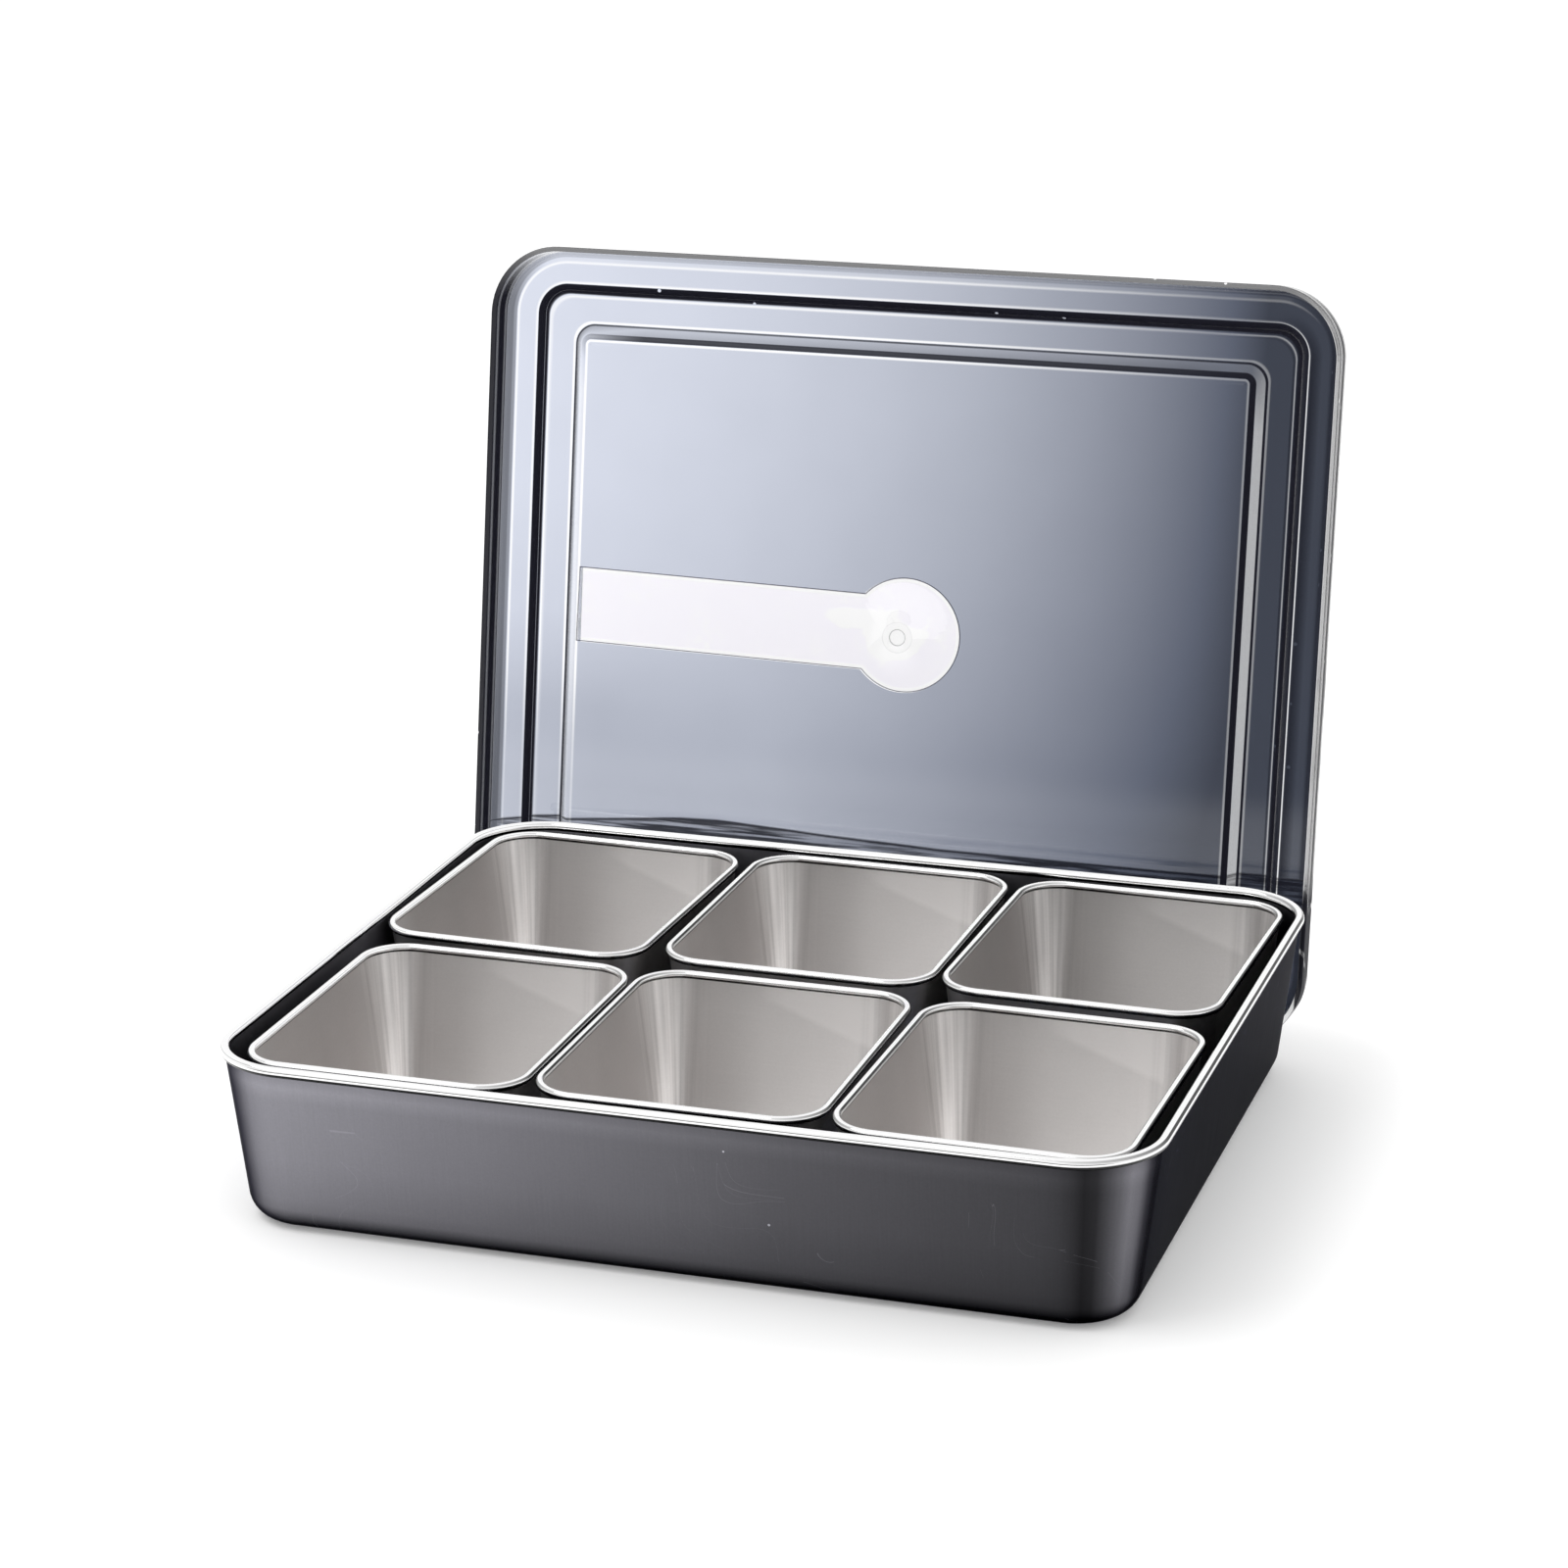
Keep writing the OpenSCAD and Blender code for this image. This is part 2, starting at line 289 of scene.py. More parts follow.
class Nodes:
    """The makers of the nodes in one node tree."""

    def __init__(self, tree):
        self.tree = tree

    def node(self, kind, **values):
        made = self.tree.nodes.new("ShaderNode" + kind)
        for key, value in values.items():
            setattr(made, key, value)
        return made

    def put(self, value, socket):
        """Links a socket to another, or sets it to a number or colour."""
        if isinstance(value, bpy.types.NodeSocket):
            self.tree.links.new(value, socket)
        elif isinstance(value, tuple) and socket.type == "RGBA":
            socket.default_value = (*value, 1)
        else:
            socket.default_value = value

    def maths(self, kind, *values, clamp=False):
        made = self.node("Math", operation=kind, use_clamp=clamp)
        for value, socket in zip(values, made.inputs):
            self.put(value, socket)
        return made.outputs[0]

    def between(self, value, start, stop, clamp=True):
        """0 where the value is start and 1 where it is stop, held beyond them if clamped."""
        slope = 1/(stop - start)
        return self.maths("MULTIPLY_ADD", value, slope, -start*slope, clamp=clamp)

    def vary(self, tone, pattern, depth):
        """The tone, half of depth lower where the pattern is 0 and half of it higher at 1."""
        return self.maths("MULTIPLY_ADD", pattern, depth, self.maths("ADD", tone, -depth/2))

    def mix(self, share, a, b, blend="MIX"):
        """A colour between a and b."""
        made = self.node("Mix", data_type="RGBA", blend_type=blend)
        for value, socket in zip((share, a, b), [s for s in made.inputs if s.enabled]):
            self.put(value, socket)
        return [s for s in made.outputs if s.enabled][0]

    def ramp(self, factor, stops):
        """A number that follows (place, value) stops as factor goes from 0 to 1."""
        made = self.node("ValToRGB")
        band = made.color_ramp
        band.elements[0].position, band.elements[1].position = stops[0][0], stops[-1][0]
        for place, _ in stops[1:-1]:
            band.elements.new(place)
        for element, (_, value) in zip(band.elements, stops):
            element.color = (value, value, value, 1)
        self.put(factor, made.inputs[0])
        return made.outputs[0]

    def place(self, output="Object"):
        return self.node("TexCoord").outputs[output]

    def stretched(self, vector, scale):
        """The vector with each part multiplied."""
        made = self.node("VectorMath", operation="MULTIPLY")
        self.put(vector, made.inputs[0])
        made.inputs[1].default_value = scale
        return made.outputs[0]

    def parts(self, vector):
        made = self.node("SeparateXYZ")
        self.put(vector, made.inputs[0])
        return made.outputs

    def texture(self, kind, vector, scale, **values):
        made = self.node("Tex" + kind, **values)
        self.put(vector, made.inputs["Vector"])
        made.inputs["Scale"].default_value = scale
        return made

    def noise(self, vector, scale, detail=2.0, output="Fac"):
        made = self.texture("Noise", vector, scale)
        made.inputs["Detail"].default_value = detail
        return made.outputs[output]

    def specks(self, vector, scale, size):
        """1 inside small round specks scattered over the surface, else 0."""
        made = self.texture("Voronoi", vector, scale)
        kept = self.maths("GREATER_THAN", self.parts(made.outputs["Color"])[0], 0.8)
        near = self.maths("LESS_THAN", made.outputs["Distance"], size)
        return self.maths("MULTIPLY", kept, near)

    def hairlines(self, vector, scale, width):
        """1 along a few long fine scratches, else 0."""
        bent = self.node("VectorMath", operation="ADD")
        self.put(vector, bent.inputs[0])
        self.put(self.noise(vector, scale*0.7), bent.inputs[1])
        made = self.texture("Voronoi", bent.outputs[0], scale, feature="DISTANCE_TO_EDGE")
        thin = self.maths("LESS_THAN", made.outputs["Distance"], width)
        kept = self.maths("GREATER_THAN", self.noise(vector, scale*1.7), 0.58)
        return self.maths("MULTIPLY", thin, kept)


class Shade(Nodes):
    """A material; self.shader is its Principled node."""

    def __init__(self, name):
        self.material = bpy.data.materials.new(name)
        self.material.use_nodes = True
        super().__init__(self.material.node_tree)
        self.shader = self.tree.nodes["Principled BSDF"]

    def set(self, **values):
        """Sets the Principled node's inputs: Base_Color=..., Roughness=..."""
        for key, value in values.items():
            self.put(value, self.shader.inputs[key.replace("_", " ")])

    def bump(self, height, strength, distance):
        made = self.node("Bump")
        made.inputs["Strength"].default_value = strength
        made.inputs["Distance"].default_value = distance
        self.put(height, made.inputs["Height"])
        self.put(made.outputs[0], self.shader.inputs["Normal"])


# ---------------------------------------------------------------- steel
# A noise's scale is in features per metre, and its detail is the number of finer layers.

def round_length(w, d, r):
    """Length of a rounded rectangle's outline."""
    return 2*(w + d) - (8 - 2*math.pi)*r


# Tone of the tray's satin steel: (share of the way round, tone), clockwise from the right end
# of the rear side. Each corner takes up 4.1% of the way. The tone is painted reflection and
# painted shade: light and dark bands at the corners, a front wall that pales to the left and a
# dark right wall.
TRAY_ROUND = [
    (0, 0.06), (0.02, 0.14), (0.041, 0.022), (0.17, 0.02), (0.229, 0.032), (0.2373, 0.046),
    (0.2442, 0.205), (0.251, 0.088), (0.257, 0.024), (0.262, 0.016), (0.2675, 0.04),
    (0.275, 0.053), (0.35, 0.092), (0.4, 0.14), (0.45, 0.188), (0.505, 0.25), (0.511, 0.24),
    (0.517, 0.15), (0.524, 0.06), (0.541, 0.22), (0.63, 0.3), (0.729, 0.24), (0.742, 0.06),
    (0.755, 0.2), (0.85, 0.14), (1, 0.06)]
# What that is multiplied by, from the foot to the rim: (share of the height, factor). It gives
# painted shade at the foot and a painted highlight just under the rim.
TRAY_UP = [(0, 0.12), (0.05, 0.16), (0.09, 0.35), (0.14, 0.72), (0.2, 0.84), (0.45, 0.98),
           (0.8, 1.0), (0.88, 1.2), (0.92, 1.05), (1, 0.8)]
TRAY_FLOOR = 0.3           # tone of the floor
TRAY_TINT, TRAY_TINT_RIGHT = (1.0, 0.985, 1.09), (0.95, 1.0, 1.3)


def tray_steel(size, height):
    """Satin steel with painted reflections and shade: palest on the left, and darkest and bluest on
    the right wall.
    """
    shade = Shade("tray_steel")
    m = shade.maths
    spot, uv = shade.place(), shade.place("UV")
    share = m("MULTIPLY", shade.parts(uv)[0], 1/round_length(*size, TRAY["corner_r"]))
    rise = m("MULTIPLY", shade.parts(spot)[2], 1/height)
    tone = m("MULTIPLY", shade.ramp(share, TRAY_ROUND), shade.ramp(rise, TRAY_UP))
    # The floor has one tone.
    flat = shade.between(m("ABSOLUTE", shade.parts(shade.place("Normal"))[2]), 0.875, 1)
    tone = m("MULTIPLY_ADD", flat, m("SUBTRACT", TRAY_FLOOR, tone), tone)
    # Fine lines of the drawing, down the wall, a slow unevenness and a fine grain
    streaks = shade.noise(shade.stretched(uv, (1800, 45, 1)), 1.0, 3.0)
    uneven = shade.vary(1.0, streaks, 0.16)
    uneven = shade.vary(uneven, shade.noise(spot, 22.0, 3.0), 0.16)
    uneven = shade.vary(uneven, shade.noise(spot, 1500.0, 1.0), 0.12)
    tone = m("MULTIPLY", tone, uneven)
    tone = m("MULTIPLY_ADD", shade.hairlines(spot, 16.0, 0.0022), 0.045, tone)
    tone = m("MULTIPLY_ADD", shade.specks(spot, 95.0, 0.035), 0.3, tone)
    # The right wall is flecked under its rim.
    right = shade.ramp(share, [(0, 0), (0.03, 0), (0.05, 1), (0.225, 1), (0.235, 0), (1, 0)])
    fleck = m("MULTIPLY", shade.between(shade.noise(spot, 420.0, 3.0), 0.6417, 0.725), right)
    fleck = m("MULTIPLY", fleck, shade.between(rise, 0.6, 0.9))
    tone = m("MULTIPLY_ADD", fleck, 0.1, tone)
    tint = shade.mix(right, TRAY_TINT, TRAY_TINT_RIGHT)
    shade.set(Base_Color=shade.mix(1.0, tone, tint, "MULTIPLY"), Metallic=1.0,
              Specular_Tint=(0.25, 0.25, 0.27),
              Roughness=m("MULTIPLY_ADD", streaks, 0.12, 0.33))
    shade.bump(shade.noise(spot, 900.0, 2.0), 0.25, 0.04*MM)
    return shade.material


# Tone of a cell's satin steel, in the same way round; each corner takes up 6.3%. It is painted
# reflection and painted shade: dark left walls, a painted highlight down the rear left corner and
# a rear wall that pales to the right.
CELL_ROUND = [
    (0, 0.92), (0.031, 0.93), (0.063, 0.88), (0.17, 0.86), (0.31, 0.86), (0.42, 0.8),
    (0.531, 0.8), (0.563, 0.46), (0.68, 0.47), (0.727, 0.53), (0.767, 0.62), (0.785, 0.72),
    (0.795, 0.84), (0.805, 0.87), (0.816, 0.86), (0.8265, 0.74), (0.838, 0.68), (0.848, 0.79),
    (0.8775, 0.81), (0.906, 0.87), (0.963, 0.89), (1, 0.92)]
# How strongly the painted highlight streaks show, in the same way round
CELL_GLINT_STREAKS = [(0, 0.6), (0.05, 0.5), (0.08, 0.0), (0.765, 0.0), (0.79, 1.0), (0.835, 1.0),
              (0.86, 0.0), (0.97, 0.0), (1, 0.6)]
CELL_TINT, CELL_TINT_LEFT = (1.0, 0.982, 0.972), (1.0, 0.95, 0.935)


def cell_steel():
    """Pale satin steel, with painted shade that darkens the left walls and painted highlights in
    bright lines down the rear corners.
    """
    shade = Shade("cell_steel")
    m = shade.maths
    spot, uv = shade.place(), shade.place("UV")
    x, y, z = shade.parts(spot)
    share = m("MULTIPLY", shade.parts(uv)[0], 1/round_length(*CELL_SIZE, CELL["corner_r"]))
    tone = shade.ramp(share, CELL_ROUND)
    # Painted shade: the left walls are darker and warmer, most so in the rear, and the rear right
    # cell is darker.
    left = shade.ramp(share, [(0, 0), (0.5625, 0), (0.6, 1), (0.74, 1), (0.8, 0), (1, 0)])
    rear = shade.between(y, 0, 5*MM)
    right = m("MULTIPLY", rear, shade.between(x, 40*MM, 50*MM))
    loss = m("MULTIPLY", left, m("MULTIPLY_ADD", rear, 0.13, 0.03))
    tone = m("MULTIPLY", tone, m("SUBTRACT", 1.0, m("MULTIPLY_ADD", right, 0.13, loss)))
    # Fine lines along the wall, a slow unevenness and a fine grain
    streaks = shade.noise(shade.stretched(uv, (40, 1500, 1)), 1.0, 3.0)
    tone = shade.vary(tone, streaks, 0.03)
    tone = shade.vary(tone, shade.noise(spot, 30.0, 3.0), 0.09)
    tone = shade.vary(tone, shade.noise(spot, 1400.0, 1.0), 0.05)
    # Painted highlights: bright streaks down the rear corners
    drawn = shade.noise(shade.stretched(uv, (420, 9, 1)), 1.0, 2.0)
    drawn = m("MULTIPLY", m("SUBTRACT", drawn, 0.5), shade.ramp(share, CELL_GLINT_STREAKS))
    tone = m("MULTIPLY_ADD", drawn, 0.9, tone)
    # Painted highlight: a paler patch with a slanted edge, high on the right of the rear wall
    patch = shade.between(m("MULTIPLY_ADD", share, 0.12, z), 0.151, 0.153)
    patch = m("MULTIPLY", patch, shade.between(share, 0.9, 0.925))
    tone = m("MULTIPLY_ADD", patch, 0.1, tone, clamp=True)
    tint = shade.mix(left, CELL_TINT, CELL_TINT_LEFT)
    shade.set(Base_Color=shade.mix(1.0, tone, tint, "MULTIPLY"), Metallic=1.0,
              Roughness=m("MULTIPLY_ADD", streaks, 0.04, 0.33))
    shade.bump(shade.noise(spot, 900.0, 2.0), 0.2, 0.03*MM)
    return shade.material


# Tone of a rolled rim from its underside, over its side, to its top, as painted shade and painted
# reflections: the underside is dark, and the thin dark reflection lines are strong along the left
# and right rims and faint along the front and rear ones.
RIM_SIDE = [(0, 0.03), (0.46, 0.05), (0.52, 0.95), (0.7, 0.95), (0.73, 0.02), (0.92, 0.02),
            (0.945, 0.97), (1, 0.97)]
RIM_FRONT = [(0, 0.012), (0.4, 0.012), (0.44, 0.9), (0.8, 0.96), (0.84, 0.6), (0.88, 0.96),
             (1, 0.97)]


def rim_steel():
    """Polished steel with painted shade under the rolled rims and thin dark painted reflections
    along them.
    """
    shade = Shade("rim_steel")
    m = shade.maths
    spot = shade.place()
    x, y, z = shade.parts(shade.place("Normal"))
    across, along = m("ABSOLUTE", x), m("ABSOLUTE", y)
    side = m("DIVIDE", across, m("ADD", m("ADD", across, along), 0.001))
    # The outermost rims on the left have no painted dark line.
    side = m("MULTIPLY", side, shade.between(shade.parts(spot)[0], -122.2*MM, -111.1*MM))
    wander = shade.noise(spot, 45.0, 2.0)
    up = m("MULTIPLY_ADD", z, 0.5, shade.vary(0.5, wander, 0.02))
    tone = shade.mix(side, shade.ramp(up, RIM_FRONT), shade.ramp(up, RIM_SIDE))
    nicks = shade.noise(spot, 350.0, 4.0)
    shade.set(Base_Color=tone, Metallic=1.0, Roughness=m("MULTIPLY_ADD", nicks, 0.1, 0.05))
    shade.bump(nicks, 0.15, 0.06*MM)
    return shade.material


# ---------------------------------------------------------------- tray and cells

def make_pans():
    """The outer tray and the six loose cells."""
    low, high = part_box("outer_tray")
    tray_size = (high.x - low.x, high.y - low.y)
    tray_look = tray_steel(tray_size, high.z)
    cell_look = cell_steel()
    rim_look = rim_steel()
    tray = pan("outer_tray", tray_size, [tray_look, rim_look], TRAY)
    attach(tray, "outer_tray")
    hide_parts("outer_tray")
    for name in sorted(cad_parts):
        if name.startswith("cell_"):
            turn = math.radians(CELL_SWING.get(name, 0))
            cell = pan(name, CELL_SIZE, [cell_look, rim_look], CELL, turn)
            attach(cell, name)
            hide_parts(name)


# ---------------------------------------------------------------- cover and label

def lean(obj):
    """Leans a mesh drawn in the shut cover's frame back on its edge."""
    obj.data.transform(Matrix.Rotation(-(math.pi/2 + COVER_LEAN), 4, "X"))


def middle(obj):
    """The middle of a mesh's box."""
    points = [v.co for v in obj.data.vertices]
    low = Vector([min(p[i] for p in points) for i in range(3)])
    high = Vector([max(p[i] for p in points) for i in range(3)])
    return (low + high)/2


def label_outline(margin=0.0):
    """The film's outline less a margin, in the shut cover's frame: a strip that ends in a disc.
    The strip starts at the foot of the cover's left slope."""
    r, half = DISC_R - margin, STRIP_W/2 - margin
    left = COVER_SIZE[0]/2 - PANEL_FOOT - STEP_R + LABEL_X - margin
    start = math.pi + math.asin(half/r)
    sweep = 2*math.pi - 2*math.asin(half/r)
    turns = [start + sweep*k/DISC_STEPS for k in range(DISC_STEPS + 1)]
    arc = [(r*math.cos(turn), r*math.sin(turn)) for turn in turns]
    stop = arc[0][0]
    along = [-left + (left + stop)*k/STRIP_STEPS for k in range(STRIP_STEPS)]
    low_side = [(x, -half) for x in along]
    high_side = [(x, half) for x in reversed(along)]
    c, s = math.cos(LABEL_TILT), math.sin(LABEL_TILT)
    return [Vector((LABEL_X + c*x - s*y, -LABEL_Y + s*x + c*y))
            for x, y in low_side + arc + high_side]


def inside(point, loop):
    """True if the point lies in the loop."""
    hit = False
    for a, b in zip(loop, loop[1:] + loop[:1]):
        if (a.y > point.y) != (b.y > point.y):
            hit ^= point.x < a.x + (b.x - a.x)*(point.y - a.y)/(b.y - a.y)
    return hit


def fill(loops, extra=()):
    """Triangles over the first loop, with the others as edges in it: (points, faces, sources).
    A point's sources are the numbers of the loops' and extra points that it stands for."""
    points, edges = [], []
    for loop in loops:
        first = len(points)
        points += [Vector(p[:2]) for p in loop]
        edges += [(first + i, first + (i + 1) % len(loop)) for i in range(len(loop))]
    points += [Vector(p) for p in extra]
    only_inside, merge = 1, 1e-9
    verts, _, faces, sources, _, _ = delaunay_2d_cdt(points, edges, [], only_inside, merge)
    return verts, faces, sources


# How much each bend and slope of the cover darkens what shows through it, as painted shade (or,
# below 0, lights it up, as a painted highlight), on the left, top, right and lower side. The bright
# lines beside the bends are painted highlights.
TONES = {
    "flat": (0.0, 0.0, 0.0, 0.0),
    "foot highlight": (-0.95, -0.9, -0.2, -0.5),
    "foot": (-0.3, 0.75, 0.97, 0.7),
    "slope low": (-0.1, 0.25, -0.3, 0.2),
    "slope high": (0.6, 0.15, -0.3, 0.2),
    "crest": (0.95, 0.6, 0.95, 0.7),
    "crest highlight": (-0.95, -0.9, -0.2, -0.5),
    "brow shade": (0.0, 0.0, 0.45, 0.0),
    "brow highlight": (-0.3, -0.85, -0.4, -0.5),
    "brow rim": (-0.9, 0.2, 0.75, 0.2),
    "brow side": (0.3, 0.95, 0.8, 0.8),
    "brow": (0.97, 1.0, 0.95, 0.95),
    "riser": (0.45, 0.85, 1.0, 0.9),
    "toe": (1.0, 1.0, 0.6, 0.95),
    "toe highlight": (-0.85, -0.95, -0.98, -0.5),
    "toe glow": (-0.5, -0.6, 0.3, -0.3),
    "shoulder": (0.0, 0.0, 0.5, 0.1),
    "shoulder far": (0.0, 0.0, 0.3, 0.0),
    "root highlight": (-0.9, -0.8, 0.1, -0.9),
    "root side": (0.35, -0.1, 0.4, 0.2),
    "root": (0.5, 0.15, 0.45, 0.3),
    "skirt high": (0.97, 0.2, 0.15, 0.4),
    "skirt line": (0.65, 0.12, 0.1, 0.2),
    "skirt low": (1.0, 0.22, 0.75, 0.4),
    "edge": (0.85, 0.55, 0.3, -0.9),
}
BENDS = ["foot", "crest", "brow", "toe", "root"]
# Spots between one bend and the next, from the panel outwards: (distance, tone). Distances are
# in mm from the run's start or, below 0, from its end.
RUNS = [
    [(-1.1, "flat"), (-0.7, "foot highlight"), (-0.3, "foot highlight")],
    [(0.3, "slope low"), (-0.3, "slope high")],
    [(0.3, "crest highlight"), (0.7, "crest highlight"), (1.1, "flat"), (-2.6, "flat"), (-2.1, "brow shade"),
     (-1.4, "brow highlight"), (-0.8, "brow rim"), (-0.4, "brow side")],
    [(0.12, "riser"), (-0.12, "riser")],
    [(0.35, "toe highlight"), (0.75, "toe glow"), (1.2, "shoulder"), (2.6, "shoulder far"), (4.5, "flat"),
     (-2.5, "flat"), (-1.9, "root highlight"), (-1.2, "root side"), (-0.5, "root side")],
    [(0.3, "skirt high"), (1.0, "skirt line"), (1.8, "skirt line"), (2.6, "skirt low"),
     (-3.8, "skirt low"), (-2.8, "skirt line"), (-1.9, "skirt line"), (-1.0, "skirt low")],
]


def cover_section():
    """(point, tone name, corner radius) along the cover's outer face, its edge, its inner face."""
    path = [(PANEL_FOOT + PANEL_MARGIN, PANEL_Z), (PANEL_FOOT, PANEL_Z), (PANEL_INSET, RIDGE_RISE),
            (RIDGE_INSET + RIDGE_RISE/math.tan(RIDGE_SLOPE), RIDGE_RISE), (RIDGE_INSET, 0),
            (SKIRT_H*math.tan(SKIRT_DRAFT), 0), (0, -SKIRT_H)]
    radii = [STEP_R]*4 + [ROOT_R]
    tones = ["flat"] + BENDS + ["edge"]
    # A ring's corner radius and inset add up to its reach, which keeps its corners concentric.
    reach = [PANEL_CORNER_R + PANEL_INSET]*3 + [RIDGE_CORNER_R + RIDGE_INSET]*2 + [SKIRT_CORNER_R]*2

    def face(side):
        line = bent_line(path, radii, COVER_WALL, side)
        out = []
        for (p, bend), (q, after) in zip(line, line[1:]):
            out.append((p, tones[bend], reach[bend] - p.x))
            if after != bend:
                run = (q - p).length
                for distance, tone in RUNS[bend]:
                    share = distance*MM/run + (distance < 0)
                    spot = p.lerp(q, share)
                    here = reach[bend] + (reach[after] - reach[bend])*share
                    out.append((spot, tone, here - spot.x))
        p, bend = line[-1]
        out.append((p, tones[bend], reach[bend] - p.x))
        return out

    outer, inner = face(0), face(COVER_WALL)
    # The free edge is rounded.
    top, foot = outer.pop()[0], inner.pop()[0]
    down = Vector((-math.sin(SKIRT_DRAFT), -math.cos(SKIRT_DRAFT)))
    across = unit(foot - top)
    edge = []
    turns = [math.radians(90*k/EDGE_STEPS) for k in range(EDGE_STEPS + 1)]
    for corner, n, order in ((top + EDGE_R*across, -across, 1), (foot - EDGE_R*across, across, -1)):
        arc = [corner - EDGE_R*down + EDGE_R*(n*math.cos(a) + down*math.sin(a)) for a in turns]
        edge += [(p, "edge", reach[-1] - p.x) for p in arc[::order]]
    return outer, edge, inner[::-1]


def side_tone(name, point, w, d):
    """The tone at a point of the cover, blended between its four sides round the corners."""
    left, top, right, low = TONES[name]
    over_x = abs(point.x) - w/2
    over_y = abs(point.y) - d/2
    along_x = left if point.x < 0 else right
    along_y = top if point.y < 0 else low
    if along_y < 0:
        # The painted highlights beside the bends of the upper and lower side fade to the right.
        along_y *= 1 - 0.8*between(point.x/w, -0.02, 0.34)
    if point.x < 0 and along_x < 0:
        # Those of the left side fade near the foot.
        along_x *= 1 - 0.75*between(point.y/d, 0.05, 0.2)
    share = between(over_x - over_y, -TONE_BLEND, TONE_BLEND)
    return along_y + (along_x - along_y)*share


def cap(verts, tones, border, loops, z):
    """Closes the cover's panel inside a ring, given by the numbers of its vertices, with loops
    as edges in it. It adds the vertices and tones, and returns the faces and their middles."""
    points, triangles, sources = fill([[verts[i] for i in border]] + loops)
    names = []
    for p, source in zip(points, sources):
        if source and source[0] < len(border):
            names.append(border[source[0]])
            continue
        names.append(len(verts))
        circle = (source[0] - len(border))//GATE_STEPS if source else len(GATE_RELIEF)
        depth, tone = GATE_RELIEF[circle][1:] if circle < len(GATE_RELIEF) else (0, 0)
        verts.append(Vector((p.x, p.y, z + depth)))
        tones.append(tone)
    middles = [sum((points[i] for i in t), Vector((0, 0)))/3 for t in triangles]
    return [[names[i] for i in t] for t in triangles], middles


def cover(materials):
    """The clear moulded cover. Its inner skin has the first material, which carries the tint,
    and its outer skin, its edge and the film's outline have the second."""
    outer, edge, inner = cover_section()
    section = outer + edge + inner
    w, d = COVER_SIZE
    rings = [ring(w/2 - p.x, d/2 - p.x, r, p.y) for p, _, r in section]
    faces, bands = bridge(rings)
    verts = [p for r in rings for p in r]
    tones = [side_tone(name, p, w, d) for r, (_, name, _) in zip(rings, section) for p in r]
    # The tint starts on the last facet of the edge.
    tinted_from = len(outer) + len(edge) - 2
    used = [0 if k >= tinted_from else 1 for k in bands]
    n, last = len(rings[0]), len(verts) - len(rings[0])

    top, _ = cap(verts, tones, list(range(n)), [], PANEL_Z)
    faces += top
    used += [1]*len(top)

    outline = label_outline()
    turns = [2*math.pi*k/GATE_STEPS for k in range(GATE_STEPS)]
    gate = [[Vector((r*math.cos(turn), r*math.sin(turn))) for turn in turns]
            for r, _, _ in GATE_RELIEF]
    under, middles = cap(verts, tones, list(range(last, last + n)), gate + [outline],
                         PANEL_Z - COVER_WALL)
    faces += [t[::-1] for t in under]
    used += [1 if inside(p, outline) else 0 for p in middles]
    obj = mesh_object("lid_skin", verts, faces, used, materials)
    add_attribute(obj, "tone", tones)
    return obj


def label(material):
    """The film on the outside of the panel. Its edge attribute is 1 on its outline, falls to
    0.5 across the cut and to 0 across the bright margin."""
    loops = [label_outline(margin) for margin, _ in FILM_EDGE]
    xs = [p.x for p in loops[0]]
    ys = [p.y for p in loops[0]]
    grid = [Vector((min(xs) + FILM_PITCH*i, min(ys) + FILM_PITCH*j))
            for i in range(1, int((max(xs) - min(xs))/FILM_PITCH))
            for j in range(1, int((max(ys) - min(ys))/FILM_PITCH))]
    grid = [p for p in grid if inside(p, loops[-1])]
    points, triangles, sources = fill(loops, grid)
    n, m = len(points), len(loops[0])
    border, level = {}, []
    for i, source in enumerate(sources):
        loop = source[0]//m if source else len(loops)
        level.append(FILM_EDGE[loop][1] if loop < len(loops) else 0.0)
        if loop == 0:
            border[source[0]] = i
    verts = [Vector((p.x, p.y, PANEL_Z + FILM_GAP + t)) for t in (0, LABEL_T) for p in points]
    faces = [list(reversed(t)) for t in triangles] + [[n + i for i in t] for t in triangles]
    for k in range(m):
        a, b = border[k], border[(k + 1) % m]
        faces.append([a, b, n + b, n + a])
    obj = mesh_object("lid_label_film", verts, faces, [0]*len(faces), [material])
    add_attribute(obj, "edge", level*2)
    return obj


# ---------------------------------------------------------------- plastic and film

WHITE = (1.0, 1.0, 1.0)
# Colour where the cover is painted dark: the painted shade on its bends, and its other dark marks
BEND_DARK = (0.004, 0.005, 0.01)


def skirt_darkening(shade):
    """How far blotches, and a darkening low down broken by thin pale lines, darken the right skirt.
    """
    m = shade.maths
    spot = shade.place()
    x, _, z = shade.parts(spot)
    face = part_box("lid")[1].x - DARKENED_INSET
    skirt = shade.between(x, face - DARKENED_BLUR, face + DARKENED_BLUR)
    # The blotches are denser lower down.
    blotch = shade.noise(shade.stretched(spot, (90, 90, 28)), 1.0, 3.0)
    blotch = shade.between(m("MULTIPLY_ADD", z, -2.25, blotch), 0.2375, 0.4875)
    # Low down the darkening leaves thin pale lines, where the noise crosses its middle.
    ripple = shade.noise(shade.stretched(spot, (60, 60, 38)), 1.0, 2.0)
    lined = shade.between(m("ABSOLUTE", m("SUBTRACT", ripple, 0.5)), 0.0022, 0.0244)
    low_down = m("MULTIPLY", shade.between(z, LINED_TOP, LINED_FOOT), 0.86)
    lined = m("MULTIPLY", lined, low_down)
    return m("MULTIPLY", skirt, m("MAXIMUM", m("MULTIPLY", blotch, 0.6), lined))


